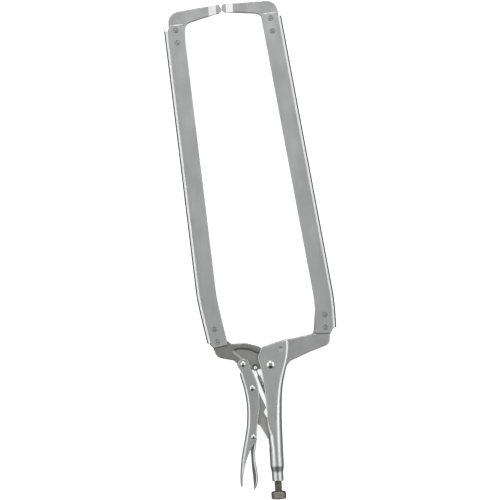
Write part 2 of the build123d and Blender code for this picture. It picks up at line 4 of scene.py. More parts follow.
import bpy
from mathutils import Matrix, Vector


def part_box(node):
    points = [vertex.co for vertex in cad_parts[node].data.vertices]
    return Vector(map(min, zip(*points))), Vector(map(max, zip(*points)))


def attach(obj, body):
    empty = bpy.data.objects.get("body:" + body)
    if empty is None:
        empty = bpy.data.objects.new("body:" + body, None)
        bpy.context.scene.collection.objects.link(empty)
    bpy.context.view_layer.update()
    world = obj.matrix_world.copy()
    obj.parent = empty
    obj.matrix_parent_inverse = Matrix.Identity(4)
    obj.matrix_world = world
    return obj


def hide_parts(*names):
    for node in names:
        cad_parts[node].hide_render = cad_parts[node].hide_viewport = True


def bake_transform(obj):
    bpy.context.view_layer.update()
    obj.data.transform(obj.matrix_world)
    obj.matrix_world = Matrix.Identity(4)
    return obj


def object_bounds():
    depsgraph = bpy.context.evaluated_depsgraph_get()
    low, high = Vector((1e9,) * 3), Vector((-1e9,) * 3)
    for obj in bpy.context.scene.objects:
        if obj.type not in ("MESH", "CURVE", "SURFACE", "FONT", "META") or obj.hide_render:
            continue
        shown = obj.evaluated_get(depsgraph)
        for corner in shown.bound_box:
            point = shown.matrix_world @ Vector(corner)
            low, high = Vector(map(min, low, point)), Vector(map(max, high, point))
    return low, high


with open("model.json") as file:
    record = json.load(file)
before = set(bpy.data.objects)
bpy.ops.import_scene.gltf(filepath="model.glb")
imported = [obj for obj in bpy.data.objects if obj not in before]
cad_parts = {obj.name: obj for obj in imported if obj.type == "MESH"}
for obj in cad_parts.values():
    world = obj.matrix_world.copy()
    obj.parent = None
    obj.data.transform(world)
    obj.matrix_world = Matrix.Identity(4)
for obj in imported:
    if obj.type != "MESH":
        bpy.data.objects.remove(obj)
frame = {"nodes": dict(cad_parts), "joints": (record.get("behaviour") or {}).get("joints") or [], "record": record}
cad_low, cad_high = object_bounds()

# Long-reach locking C clamp, seen from straight above as it lies on a white table. Metres throughout.
MM = 0.001
MIDDLE_PLANE = (cad_low[2] + cad_high[2]) / 2  # the clamp is the same above and below this height
HALF_HEIGHT = (cad_high[2] - cad_low[2]) / 2

# Camera
PHOTO_TILT = math.radians(3.2)  # the fixed handle leans this much to the right of upright in the picture
CAMERA_HEIGHT = 4.0  # above the middle plane
VIEW_WIDTH = 0.6  # what the picture spans at that plane
AIM = (-0.0050, 0.0014)  # X and Y of the picture's middle
SENSOR = 36.0  # in millimetres, as Blender's lenses are

# Studio
SKY_LEVELS = [  # (0 straight down to 1 straight up, grey)
    (0.0, 0.10), (0.47, 0.16), (0.53, 0.62), (0.75, 0.55), (0.92, 0.50), (1.0, 0.48),
]
DARK_SCREEN = (0.0, -0.75, 0.66)  # direction of the dark screen that the metal mirrors
SCREEN_EDGE = (0.76, 0.88)  # cosines to that direction where the screen begins and is fully dark
SCREEN_STRENGTH = 0.15
FLOOR_REACH = 4.0
FLOOR_GREYS = ((0.62, 0.62, 0.62), (0.65, 0.65, 0.65))
FLOOR_GLOW = 0.85
SIDE_BOX_REACH = 0.95  # to the left and right of the clamp's middle, and as far above it
SIDE_BOX_Y = 0.15
SIDE_BOX_SIZE = (1.8, 0.75)
SIDE_BOX_POWER = 5.6
HEAD_BOX_PLACE = (0.0, 1.15, 1.05)
HEAD_BOX_SIZE = (0.5, 0.6)
HEAD_BOX_POWER = 6.5

# Handles
TUBE_START_Y = -221 * MM  # where the fixed handle's plates have closed to a tube
SWAGED_RING_Y = -262.5 * MM  # middle of the shoulder above the collar
TUBE_FADE = (-25 * MM, 10 * MM)  # where the tube's finish is whole and where it starts, from TUBE_START_Y
ROLLED_ROUGHNESS = 0.09  # added on the tube
BETWEEN_HANDLES = (-6 * MM, 2 * MM)  # X where the movable handle's finish ends and the fixed one's begins
HANDLED_COLOUR = (0.40, 0.405, 0.40)
HANDLED_SHARE = 0.25
# painted dark reflection along the middle of the fixed handle's tube, where it faces up
TUBE_DARK_REFLECTION_COLOUR = (0.30, 0.31, 0.31)
TUBE_DARK_REFLECTION_SHARE = 0.45
TUBE_DARK_REFLECTION_FACING = (0.08, 0.30)  # how far sideways the tube faces where its painted dark reflection fades
# painted shade round the swaged shoulder above the collar
SWAGED_SHADE_COLOUR = (0.22, 0.23, 0.235)
SWAGED_SHADE_SHARE = 0.75
SWAGED_SHADE_FADE = (1.5 * MM, 4.5 * MM)  # from the ring's middle
# painted shade on the release lever's cheeks
LEVER_CHEEK_SHADE_COLOUR = (0.17, 0.173, 0.17)
LEVER_CHEEK_SHADE_SHARE = 0.85
LEVER_CHEEK_SHADE_FACING = (0.02, 0.30)  # how far to +X the lever faces where its painted cheek shade fades

# Arms
WEB_TOP = 6.9 * MM  # outer face of the arms' webs, from the middle plane
# painted shade: the free edges of the flanges are painted near-black
FLANGE_EDGE_SHADE_COLOUR = (0.08, 0.083, 0.08)
FLANGE_EDGE_SHADE_SHARE = 0.97
FLANGE_EDGE_SHADE_DEPTH = (0.24 * MM, 0.16 * MM)  # below the flange's edge, where it starts and is whole
# painted highlight: the flanges' inner side beside the web is painted white
INNER_FLANGE_HIGHLIGHT_COLOUR = (0.95, 0.95, 0.95)
INNER_FLANGE_HIGHLIGHT_ROUGHNESS = 0.25  # added there
INNER_FLANGE_HIGHLIGHT_FACING = (0.05, 0.25)  # how far inwards the flange faces where the painted highlight starts and is whole
INNER_FLANGE_HIGHLIGHT_START = (0.02 * MM, 0.12 * MM)  # above the web

# Forgings
RECESS_FLOOR_COLOUR = (0.46, 0.465, 0.445)
RECESS_FLOOR_SHARE = 0.5
RECESS_FLOOR_TOP = (1.3 * MM, 1.1 * MM)  # below the cheek, where the clean floor is whole and ends
RECESS_FLOOR_BOTTOM = (1.7 * MM, 1.6 * MM)  # below the cheek, where it ends and where it is whole
GROUND_COLOURS = ((0.75, 0.75, 0.755), (0.87, 0.87, 0.87))
GROUND_SIDEWAYS = (0.10, 0.14)  # how far sideways a tip's bevel faces, at least
GROUND_UPWARDS = (0.90, 0.94)  # and how far up or down

# Wear, painted shade in hollows and painted edge highlights that every finish shares
EDGE_ROUNDING = 0.45 * MM
EDGE_BREAKS = 260.0  # features a metre of the gaps in a rubbed edge
# painted shade: how far the ambient occlusion looks for the corners and hollows that it darkens
HOLLOW_SHADE_REACH = 4 * MM
EDGE_TURN = (0.97, 0.80)  # cosines of the rounded normal's turn where an edge starts and is whole
EDGE_POLISH = 0.1  # taken from the roughness along rubbed edges
ROUGHNESS_SPREAD = (0.06, 0.08)  # below and above a finish's roughness
LINE_SHADE = 0.82  # brightness left in a rolling or polishing line
LINE_SHARE = 0.35
HOLLOW_SHADE_LEVEL = 0.35  # brightness left in the painted shade of a corner or hollow

# Adjusting screw and knob
THREAD_PITCH = 1.5875 * MM
THREAD_DEPTH = 0.86 * MM
THREAD_STEPS = 8  # rings in each pitch
SCREW_SEGMENTS = 56
SCREW_CLEARANCE = 0.05 * MM  # how far the thread's crests stay inside the CAD rod
SCREW_CHAMFER = 1.2 * MM
KNURL_TEETH = 34
KNURL_DEPTH = 0.42 * MM
KNURL_SEGMENTS = 8  # points in each tooth
KNOB_ROWS = 44
KNOB_BEVEL = 2.3 * MM
KNOB_CLEARANCE = 0.02 * MM

# Spring, from the jaw's lug to the tab in the handle, about the main pivot
SPRING_HOLE = Vector((-18.3, -2.9, 0.0)) * MM
SPRING_ANCHOR = Vector((-2.0, -50.0, 0.0)) * MM
HOLE_TO_COIL = 9.0 * MM
COIL_TO_ANCHOR = 5.0 * MM
COIL_MEAN_RADIUS = 2.0 * MM
WIRE_RADIUS = 0.45 * MM
COIL_TURNS = 21
POINTS_PER_TURN = 20
END_TURN_SHARE = 0.25  # the coil narrows to this share of its radius at its ends
END_TURN_GROWTH = 12  # and grows to the whole radius at this rate along its length
HOOK_AT_HOLE = [  # millimetres from the hole towards the coil, and up
    (2.2, -1.61), (0.9, -2.3), (0.0, -1.4), (0.0, 0.0), (0.0, 1.4), (0.27, 2.03), (0.9, 2.3), (2.5, 2.139),
]
HOOK_AT_COIL = [(1.5, 1.035), (0.6, 0.805)]  # millimetres from the coil's end towards the hole, and up

# Arm rivets: (radius, height above the web) in millimetres round each head, from near its middle to its rim
ARM_RIVET_HEAD = [
    (0.9, 0.66), (1.35, 0.56), (1.55, 0.26), (1.95, 0.24), (2.2, 0.72),
    (2.6, 0.88), (3.0, 0.74), (3.3, 0.4), (3.4, 0.0),
]
ARM_RIVET_HEIGHT = 0.9 * MM
ARM_RIVET_SHANK = 2.5 * MM
ARM_RIVET_SEGMENTS = 40


# ---------------------------------------------------------------- node helpers

def add(tree, kind, inputs=None, **settings):
    """Adds a shader node with those settings and input values."""
    node = tree.nodes.new(kind)
    for key, value in settings.items():
        setattr(node, key, value)
    for key, value in (inputs or {}).items():
        node.inputs[key].default_value = value
    return node


def scaled_coordinates(tree, scale):
    """Object coordinates, multiplied along each axis."""
    coordinates = add(tree, "ShaderNodeTexCoord")
    mapping = add(tree, "ShaderNodeMapping", {"Scale": scale})
    tree.links.new(coordinates.outputs["Object"], mapping.inputs["Vector"])
    return mapping.outputs["Vector"]


def noise(tree, scale, detail=4.0, roughness=0.55):
    """Noise between about 0 and 1. scale is in features a metre, along each axis."""
    texture = add(tree, "ShaderNodeTexNoise", {"Scale": 1.0, "Detail": detail, "Roughness": roughness})
    tree.links.new(scaled_coordinates(tree, scale), texture.inputs["Vector"])
    return texture.outputs["Fac"]


def remap(tree, value, from_low, from_high, to_low, to_high):
    """Carries the first span evenly to the second, and stays at its ends beyond them."""
    node = add(tree, "ShaderNodeMapRange", {
        "From Min": from_low, "From Max": from_high, "To Min": to_low, "To Max": to_high,
    })
    tree.links.new(value, node.inputs["Value"])
    return node.outputs["Result"]


def combine(tree, operation, first, second):
    """Math node on two values, each a float or a socket."""
    node = add(tree, "ShaderNodeMath", operation=operation)
    for socket, value in zip(node.inputs, (first, second)):
        if isinstance(value, float):
            socket.default_value = value
        else:
            tree.links.new(value, socket)
    return node.outputs["Value"]


def multiply(tree, first, second):
    return combine(tree, "MULTIPLY", first, second)


def size_of(tree, value):
    """The value without its sign."""
    return combine(tree, "ABSOLUTE", value, 0.0)


def mix_colour(tree, factor, first, second):
    """first where factor is 0 and second where it is 1. Each is a colour or a socket."""
    node = add(tree, "ShaderNodeMix", data_type="RGBA")
    tree.links.new(factor, node.inputs["Factor"])
    for name, value in (("A", first), ("B", second)):
        socket = next(s for s in node.inputs if s.name == name and s.type == "RGBA")
        if isinstance(value, tuple):
            socket.default_value = (*value, 1.0)
        else:
            tree.links.new(value, socket)
    return next(s for s in node.outputs if s.type == "RGBA")


def shade(colour, factor):
    return tuple(min(1.0, channel * factor) for channel in colour)


def coordinate_along(tree, kind, axis):
    """One axis of a kind of texture coordinate."""
    coordinates = add(tree, "ShaderNodeTexCoord")
    parts = add(tree, "ShaderNodeSeparateXYZ")
    tree.links.new(coordinates.outputs[kind], parts.inputs["Vector"])
    return parts.outputs[axis]


def place_along(tree, axis):
    """One object coordinate of the surface."""
    return coordinate_along(tree, "Object", axis)


def facing_along(tree, axis):
    """How squarely the surface faces along an object axis, from -1 to 1."""
    return coordinate_along(tree, "Normal", axis)


def distance_from(tree, axis, place):
    """How far a point lies from that place on the axis."""
    return size_of(tree, combine(tree, "SUBTRACT", place_along(tree, axis), place))


def edge_mask(tree, rounded, spread):
    """1 along sharp edges and 0 on open faces, from how far the rounded normal turns away."""
    geometry = add(tree, "ShaderNodeNewGeometry")
    dot = add(tree, "ShaderNodeVectorMath", operation="DOT_PRODUCT")
    tree.links.new(rounded, dot.inputs[0])
    tree.links.new(geometry.outputs["Normal"], dot.inputs[1])
    edge = remap(tree, dot.outputs["Value"], *EDGE_TURN, 0.0, 1.0)
    broken = remap(tree, noise(tree, (spread, spread, spread)), 0.35, 0.6, 0.25, 1.0)
    return multiply(tree, edge, broken)


def relief(tree, height, distance, normal):
    """Bump of that height in metres on top of a normal."""
    bump = add(tree, "ShaderNodeBump", {"Distance": distance, "Strength": 1.0})
    tree.links.new(height, bump.inputs["Height"])
    tree.links.new(normal, bump.inputs["Normal"])
    return bump.outputs["Normal"]


def opened(material):
    """The material's node tree and its surface shader."""
    return material.node_tree, material.node_tree.nodes["Principled BSDF"]


def fed_to(surface, name):
    """What the finish so far sends to that socket of the surface shader."""
    return surface.inputs[name].links[0].from_socket


# ---------------------------------------------------------------- materials

def metal(name, colour, roughness, cloud, streak, grain, edge_lightening=1.25, hollow_shade=0.35):
    """Plated or bare steel.

    cloud: (features a metre, colour change) of the soft patches in the finish
    streak: (features a metre along x, y and z, relief in metres) of the rolling or polishing lines
    grain: (features a metre, relief in metres) of the fine pitted surface
    edge_lightening: how much brighter edges are painted, partly as rubbed wear and partly as a painted highlight
    hollow_shade: how much painted shade the corners and hollows take
    """
    material = bpy.data.materials.new(name)
    material.use_nodes = True
    tree, surface = opened(material)
    surface.inputs["Metallic"].default_value = 1.0

    rounded = add(tree, "ShaderNodeBevel", {"Radius": EDGE_ROUNDING}, samples=4).outputs["Normal"]
    edge = edge_mask(tree, rounded, EDGE_BREAKS)

    patches = noise(tree, (cloud[0], cloud[0] * 0.6, cloud[0]), 5.0)
    patch_mask = remap(tree, patches, 0.3, 0.7, 0.0, 1.0)
    tone = mix_colour(tree, patch_mask, shade(colour, 1 - cloud[1]), shade(colour, 1 + cloud[1]))
    lines = noise(tree, streak[:3], 3.0)
    line_mask = remap(tree, lines, 0.35, 0.7, 0.0, LINE_SHARE)
    tone = mix_colour(tree, line_mask, tone, shade(colour, LINE_SHADE))
    # Painted shade: corners and hollows are darkened where the ambient occlusion finds them.
    hollow = add(tree, "ShaderNodeAmbientOcclusion", {"Distance": HOLLOW_SHADE_REACH}, samples=4, only_local=False)
    painted_hollow_shade = remap(tree, hollow.outputs["AO"], 0.35, 0.85, hollow_shade, 0.0)
    tone = mix_colour(tree, painted_hollow_shade, tone, shade(colour, HOLLOW_SHADE_LEVEL))
    # Edges are lightened, partly as rubbed wear and partly as a painted highlight.
    tone = mix_colour(tree, edge, tone, shade(colour, edge_lightening))
    tree.links.new(tone, surface.inputs["Base Color"])

    pits = noise(tree, (grain[0], grain[0], grain[0]), 6.0, 0.65)
    uneven = combine(tree, "ADD", patches, pits)
    below, above = ROUGHNESS_SPREAD
    matt = remap(tree, uneven, 0.7, 1.35, roughness - below, roughness + above)
    polished = combine(tree, "SUBTRACT", matt, multiply(tree, edge, EDGE_POLISH))
    tree.links.new(polished, surface.inputs["Roughness"])

    normal = relief(tree, lines, streak[3], rounded)
    normal = relief(tree, pits, grain[1], normal)
    tree.links.new(normal, surface.inputs["Normal"])
    return material


def plated_sheet():
    """Satin nickel on the pressed handles, with lengthwise polishing lines.

    The fixed handle is rougher where it is rolled round, with a painted dark reflection along its middle and
    painted shade round the shoulder where its end is swaged down to the collar. The movable one is darker from
    handling.
    """
    material = metal(
        "plated_sheet", colour=(0.68, 0.692, 0.688), roughness=0.30, cloud=(60.0, 0.04),
        streak=(900.0, 25.0, 900.0, 0.000006), grain=(1500.0, 0.000008),
    )
    tree, surface = opened(material)
    plain = fed_to(surface, "Base Color")
    matt = fed_to(surface, "Roughness")

    along = place_along(tree, "Y")
    whole, start = TUBE_FADE
    tube = remap(tree, along, TUBE_START_Y + whole, TUBE_START_Y + start, 1.0, 0.0)
    rolled_roughness = multiply(tree, tube, ROLLED_ROUGHNESS)
    tree.links.new(combine(tree, "ADD", matt, rolled_roughness), surface.inputs["Roughness"])

    movable = remap(tree, place_along(tree, "X"), *BETWEEN_HANDLES, 1.0, 0.0)
    handled = multiply(tree, movable, HANDLED_SHARE)
    tone = mix_colour(tree, handled, plain, HANDLED_COLOUR)

    fixed_tube = multiply(tree, tube, combine(tree, "SUBTRACT", 1.0, movable))
    sideways = size_of(tree, facing_along(tree, "X"))
    # painted dark reflection along the tube's middle, where it faces up
    tube_dark_reflection = remap(tree, sideways, *TUBE_DARK_REFLECTION_FACING, TUBE_DARK_REFLECTION_SHARE, 0.0)
    middle = multiply(tree, fixed_tube, tube_dark_reflection)
    tone = mix_colour(tree, middle, tone, TUBE_DARK_REFLECTION_COLOUR)

    # painted shade round the swaged shoulder
    from_ring = distance_from(tree, "Y", SWAGED_RING_Y)
    ring = multiply(tree, fixed_tube, remap(tree, from_ring, *SWAGED_SHADE_FADE, SWAGED_SHADE_SHARE, 0.0))
    tone = mix_colour(tree, ring, tone, SWAGED_SHADE_COLOUR)
    tree.links.new(tone, surface.inputs["Base Color"])
    return material


def arm_finish():
    """Matt plated strip, slightly cloudy, with the free edges of its flanges painted near-black as shade.

    The flanges' inner side beside the web carries a painted white highlight, and is rougher there.
    """
    material = metal(
        "arm_finish", colour=(0.64, 0.652, 0.648), roughness=0.34, cloud=(45.0, 0.04),
        streak=(1400.0, 45.0, 1400.0, 0.000006), grain=(1900.0, 0.000010), hollow_shade=0.0,
    )
    tree, surface = opened(material)
    plain = fed_to(surface, "Base Color")
    matt = fed_to(surface, "Roughness")

    height = distance_from(tree, "Z", MIDDLE_PLANE)
    # painted shade: the flanges' free edges are painted near-black
    start, whole = (HALF_HEIGHT - depth for depth in FLANGE_EDGE_SHADE_DEPTH)
    flange_edge_shade = remap(tree, height, start, whole, 0.0, FLANGE_EDGE_SHADE_SHARE)
    # painted highlight: the flanges' inner side above the web is painted white
    arm_side = combine(tree, "SIGN", place_along(tree, "X"), 0.0)
    inwards = multiply(tree, arm_side, multiply(tree, facing_along(tree, "X"), -1.0))
    inner_side = remap(tree, inwards, *INNER_FLANGE_HIGHLIGHT_FACING, 0.0, 1.0)
    start, whole = (WEB_TOP + rise for rise in INNER_FLANGE_HIGHLIGHT_START)
    above_web = remap(tree, height, start, whole, 0.0, 1.0)
    folded = multiply(tree, inner_side, above_web)

    tone = mix_colour(tree, folded, plain, INNER_FLANGE_HIGHLIGHT_COLOUR)
    tone = mix_colour(tree, flange_edge_shade, tone, FLANGE_EDGE_SHADE_COLOUR)
    tree.links.new(tone, surface.inputs["Base Color"])
    scattered = combine(tree, "ADD", matt, multiply(tree, folded, INNER_FLANGE_HIGHLIGHT_ROUGHNESS))
    tree.links.new(scattered, surface.inputs["Roughness"])
    return material


def forged_finish():
    """Darker forging with a pitted skin under the plating, and a cleaner floor in its cheek recess."""
    material = metal(
        "forged_finish", colour=(0.34, 0.346, 0.327), roughness=0.42, cloud=(110.0, 0.10),
        streak=(260.0, 260.0, 260.0, 0.00003), grain=(800.0, 0.00006), edge_lightening=1.45, hollow_shade=0.5,
    )
    tree, surface = opened(material)
    height = distance_from(tree, "Z", MIDDLE_PLANE)
    low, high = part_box("movable_jaw")
    cheek = (high[2] - low[2]) / 2
    whole, end = (cheek - depth for depth in RECESS_FLOOR_TOP)
    below_rim = remap(tree, height, whole, end, 1.0, 0.0)
    end, whole = (cheek - depth for depth in RECESS_FLOOR_BOTTOM)
    above_core = remap(tree, height, end, whole, 0.0, 1.0)
    cleaned = multiply(tree, multiply(tree, below_rim, above_core), RECESS_FLOOR_SHARE)
    tone = mix_colour(tree, cleaned, fed_to(surface, "Base Color"), RECESS_FLOOR_COLOUR)
    tree.links.new(tone, surface.inputs["Base Color"])
    return material


def tip_finish():
    """Forged bars, ground bright on the two bevels of each tip."""
    material = metal(
        "tip_finish", colour=(0.575, 0.58, 0.578), roughness=0.36, cloud=(90.0, 0.07),
        streak=(220.0, 900.0, 220.0, 0.00002), grain=(1100.0, 0.00004), edge_lightening=1.35,
    )
    tree, surface = opened(material)
    tilted = remap(tree, size_of(tree, facing_along(tree, "X")), *GROUND_SIDEWAYS, 0.0, 1.0)
    level = remap(tree, size_of(tree, facing_along(tree, "Z")), *GROUND_UPWARDS, 0.0, 1.0)
    ground = multiply(tree, tilted, level)
    lines = noise(tree, (2600.0, 90.0, 90.0), 2.0)
    bright = mix_colour(tree, remap(tree, lines, 0.35, 0.65, 0.0, 1.0), *GROUND_COLOURS)
    tone = mix_colour(tree, ground, fed_to(surface, "Base Color"), bright)
    tree.links.new(tone, surface.inputs["Base Color"])
    return material


def lever_finish():
    """The release lever's bright folded back, and its cheeks darkened with painted shade."""
    material = metal(
        "lever_finish", colour=(0.64, 0.65, 0.645), roughness=0.28, cloud=(120.0, 0.05),
        streak=(900.0, 40.0, 900.0, 0.000006), grain=(1500.0, 0.000008),
    )
    tree, surface = opened(material)
    # painted shade: the lever is darkened where it does not face +X
    cheek = remap(tree, facing_along(tree, "X"), *LEVER_CHEEK_SHADE_FACING, LEVER_CHEEK_SHADE_SHARE, 0.0)
    tone = mix_colour(tree, cheek, fed_to(surface, "Base Color"), LEVER_CHEEK_SHADE_COLOUR)
    tree.links.new(tone, surface.inputs["Base Color"])
    return material


def rivet_finish():
    """Matt plated rivet heads on the arms, with deep painted shade in their grooves."""
    return metal(
        "rivet_finish", colour=(0.36, 0.365, 0.36), roughness=0.45, cloud=(300.0, 0.10),
        streak=(500.0, 500.0, 500.0, 0.00001), grain=(1800.0, 0.00002), hollow_shade=0.8,
    )


def bright_rivet_finish():
    """Tumbled, nearly mirror-bright pivot rivets."""
    return metal(
        "bright_rivet_finish", colour=(0.60, 0.60, 0.605), roughness=0.14, cloud=(300.0, 0.05),
        streak=(700.0, 700.0, 700.0, 0.000006), grain=(1500.0, 0.000008), edge_lightening=1.1, hollow_shade=0.5,
    )


def link_finish():
    """Blanked link plate with a matt finish."""
    return metal(
        "link_finish", colour=(0.53, 0.535, 0.52), roughness=0.40, cloud=(130.0, 0.10),
        streak=(400.0, 60.0, 400.0, 0.00002), grain=(1200.0, 0.00004),
    )


def wire_finish():
    """Drawn spring wire, with painted shade in its coils."""
    return metal(
        "wire_finish", colour=(0.50, 0.49, 0.47), roughness=0.30, cloud=(400.0, 0.12),
        streak=(900.0, 900.0, 900.0, 0.000006), grain=(2500.0, 0.000008), hollow_shade=0.8,
    )


def screw_finish():
    """Warm grey steel of the screw and its knob, with painted shade between the threads."""
    return metal(
        "screw_finish", colour=(0.31, 0.299, 0.273), roughness=0.42, cloud=(220.0, 0.12),
        streak=(600.0, 600.0, 600.0, 0.00001), grain=(1800.0, 0.00003), edge_lightening=1.4, hollow_shade=0.8,
    )


FINISHES = {
    "bright_plated_sheet": plated_sheet(),
    "arm_sheet": arm_finish(),
    "forged_jaw": forged_finish(),
    "forged_tip": tip_finish(),
    "arm_rivet": rivet_finish(),
    "bright_rivet": bright_rivet_finish(),
    "dark_link": link_finish(),
    "spring_wire": wire_finish(),
    "screw_steel": screw_finish(),
}


def finish_cad_nodes():
    """Gives each CAD node the finish of its slot in the record, and the release lever one of its own."""
    for subpart in frame["record"]["subparts"]:
        node = frame["nodes"][subpart["node"]]
        node.data.materials.clear()
        node.data.materials.append(FINISHES[subpart["material_slot"]])
    lever = frame["nodes"]["release_lever"]
    lever.data.materials[0] = lever_finish()


# ---------------------------------------------------------------- pieces

def new_piece(name, mesh, slot):
    """Object of that mesh, smoothly shaded, in its slot's finish."""
    mesh.shade_smooth()
    piece = bpy.data.objects.new(name, mesh)
    bpy.context.scene.collection.objects.link(piece)
    mesh.materials.clear()
    mesh.materials.append(FINISHES[slot])
    return piece


def skin(rings):
    """Points and faces of a closed skin over equally long rings, with a point in the middle of each end."""
    count = len(rings[0])
    points = [point for ring in rings for point in ring]
    faces = []
    for row in range(len(rings) - 1):
        for step in range(count):
            after = (step + 1) % count
            low, high = row * count, (row + 1) * count
            faces.append((low + step, low + after, high + after, high + step))
    for ring, start, flip in ((rings[0], 0, False), (rings[-1], (len(rings) - 1) * count, True)):
        middle = sum(ring, Vector()) / count
        points.append(middle)
        hub = len(points) - 1
        for step in range(count):
            after = (step + 1) % count
            fan = (hub, start + after, start + step)
            faces.append(tuple(reversed(fan)) if flip else fan)
    return points, faces


def mesh_from(name, points, faces):
    mesh = bpy.data.meshes.new(name)
    mesh.from_pydata([tuple(point) for point in points], [], faces)
    mesh.validate()
    return mesh


def turned_rings(axis_x, axis_z, stations, segments, relief_at):
    """Rings about an axis along +Y, one for each station of (y, radius, share of the relief).

    relief_at(turn, y) is how far the surface sinks there. turn goes from 0 to 1.
    """
    rings = []
    for y, radius, share in stations:
        ring = []
        for step in range(segments):
            turn = step / segments
            reach = radius - share * relief_at(turn, y)
            angle = 2 * math.pi * turn
            ring.append(Vector((axis_x + reach * math.sin(angle), y, axis_z + reach * math.cos(angle))))
        rings.append(ring)
    return rings


def saw(value):
    """Triangle wave: 0 at whole numbers and 1 half way between them."""
    fraction = value % 1.0
    return 1 - abs(2 * fraction - 1)


def axis_of(node):
    """X and Z of the middle of a node that lies along Y, with its Y ends and its radius."""
    low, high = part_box(node)
    return (low[0] + high[0]) / 2, (low[2] + high[2]) / 2, low[1], high[1], (high[0] - low[0]) / 2


def threaded_screw():
    """Rod with a real rolled thread, in place of the smooth CAD rod."""
    axis_x, axis_z, foot, tip, radius = axis_of("adjusting_screw")

    def groove(turn, y):
        """Thread with flat crests and flat roots."""
        return THREAD_DEPTH * min(1.0, max(0.0, 1.35 * saw(y / THREAD_PITCH - turn) - 0.15))

    stations = []
    y = foot
    while y < tip:
        near_tip = max(0.0, y - (tip - SCREW_CHAMFER))
        share = 1.0 if near_tip < 0.6 * SCREW_CHAMFER else 0.3
        stations.append((y, radius - SCREW_CLEARANCE - near_tip, share))
        y += THREAD_PITCH / THREAD_STEPS
    stations.append((tip, radius - SCREW_CHAMFER, 0.0))
    rings = turned_rings(axis_x, axis_z, stations, SCREW_SEGMENTS, groove)
    mesh = mesh_from("adjusting_screw_threaded", *skin(rings))
    piece = new_piece("adjusting_screw_threaded", mesh, "screw_steel")
    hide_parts("adjusting_screw")
    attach(piece, "adjusting_screw_body")


def knurled_knob():
    """Knob with crowned edges and a diamond knurl round its rim, in place of the plain CAD knob."""
    axis_x, axis_z, low, high, radius = axis_of("screw_knob")
    length = high - low

    def knurl(turn, y):
        """Two sets of grooves that cross."""
        across = turn * KNURL_TEETH
        along = (y - low) * KNURL_TEETH / (2 * math.pi * radius)
        return KNURL_DEPTH * max(saw(across + along), saw(across - along))

    dished_face = [(low + 0.7 * MM, 0.30 * radius), (low + 0.5 * MM, 0.45 * radius), (low, 0.52 * radius)]
    stations = [(y, reach, 0.0) for y, reach in dished_face]
    for row in range(KNOB_ROWS + 1):
        y = low + length * row / KNOB_ROWS
        from_end = min(y - low, high - y)
        inset = KNOB_BEVEL * (1 - math.sqrt(1 - (1 - min(1.0, from_end / KNOB_BEVEL)) ** 2))
        share = min(1.0, max(0.0, (from_end - 0.35 * KNOB_BEVEL) / (0.5 * KNOB_BEVEL)))
        stations.append((y, radius - KNOB_CLEARANCE - inset, share))
    stations += [(high, 0.6 * radius, 0.0), (high - 0.4 * MM, 0.50 * radius, 0.0)]
    rings = turned_rings(axis_x, axis_z, stations, KNURL_TEETH * KNURL_SEGMENTS, knurl)
    piece = new_piece("knurled_knob", mesh_from("knurled_knob", *skin(rings)), "screw_steel")
    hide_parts("screw_knob")
    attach(piece, "screw_knob_body")


def hook_points(hole, outwards, coil_end):
    """Hook from behind the sheet, up through its hole and over to the coil's middle."""
    up = Vector((0, 0, 1))
    points = [hole - outwards * back * MM + up * rise * MM for back, rise in HOOK_AT_HOLE]
    points += [coil_end + outwards * out * MM + up * rise * MM for out, rise in HOOK_AT_COIL]
    return points


def coil_spring():
    """Wound wire with a hook at each end, which follows the handle's tab and the jaw's lug."""
    jaw_joint = next(joint for joint in frame["joints"] if joint["name"] == "jaw_open")
    pivot = Vector(jaw_joint["pos_m"])
    hole = pivot + SPRING_HOLE
    anchor = pivot + SPRING_ANCHOR
    along = (anchor - hole).normalized()
    up = Vector((0, 0, 1))
    side = up.cross(along)
    coil_start = hole + along * HOLE_TO_COIL
    coil_end = anchor - along * COIL_TO_ANCHOR

    path = hook_points(hole, -along, coil_start)
    steps = COIL_TURNS * POINTS_PER_TURN
    for step in range(steps + 1):
        share = step / steps
        angle = 2 * math.pi * share * COIL_TURNS
        grow = min(1.0, END_TURN_GROWTH * min(share, 1 - share) + END_TURN_SHARE)
        offset = (up * math.cos(angle) + side * math.sin(angle)) * COIL_MEAN_RADIUS * grow
        path.append(coil_start.lerp(coil_end, share) + offset)
    path += reversed(hook_points(anchor, along, coil_end))

    curve = bpy.data.curves.new("coil_spring_line", "CURVE")
    curve.dimensions = "3D"
    curve.bevel_depth = WIRE_RADIUS
    curve.bevel_resolution = 3
    curve.use_fill_caps = True
    spline = curve.splines.new("POLY")
    spline.points.add(len(path) - 1)
    for point, place in zip(spline.points, path):
        point.co = (*place, 1.0)
    line = bpy.data.objects.new("coil_spring_line", curve)
    bpy.context.scene.collection.objects.link(line)
    bpy.context.view_layer.update()
    mesh = bpy.data.meshes.new_from_object(line.evaluated_get(bpy.context.evaluated_depsgraph_get()))
    bpy.data.objects.remove(line)
    piece = new_piece("coil_spring", mesh, "spring_wire")
    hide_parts("tension_spring")
    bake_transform(piece)


def rivet_centres(node):
    """X and Y of the two rivets in a node, which lie apart mostly along Y."""
    places = sorted((vertex.co.y, vertex.co.x) for vertex in frame["nodes"][node].data.vertices)
    gaps = [(places[index][0] - places[index - 1][0], index) for index in range(1, len(places))]
    split = max(gaps)[1]
    centres = []
    for group in (places[:split], places[split:]):
        across = [x for _, x in group]
        centres.append(((min(across) + max(across)) / 2, (group[0][0] + group[-1][0]) / 2))
    return centres


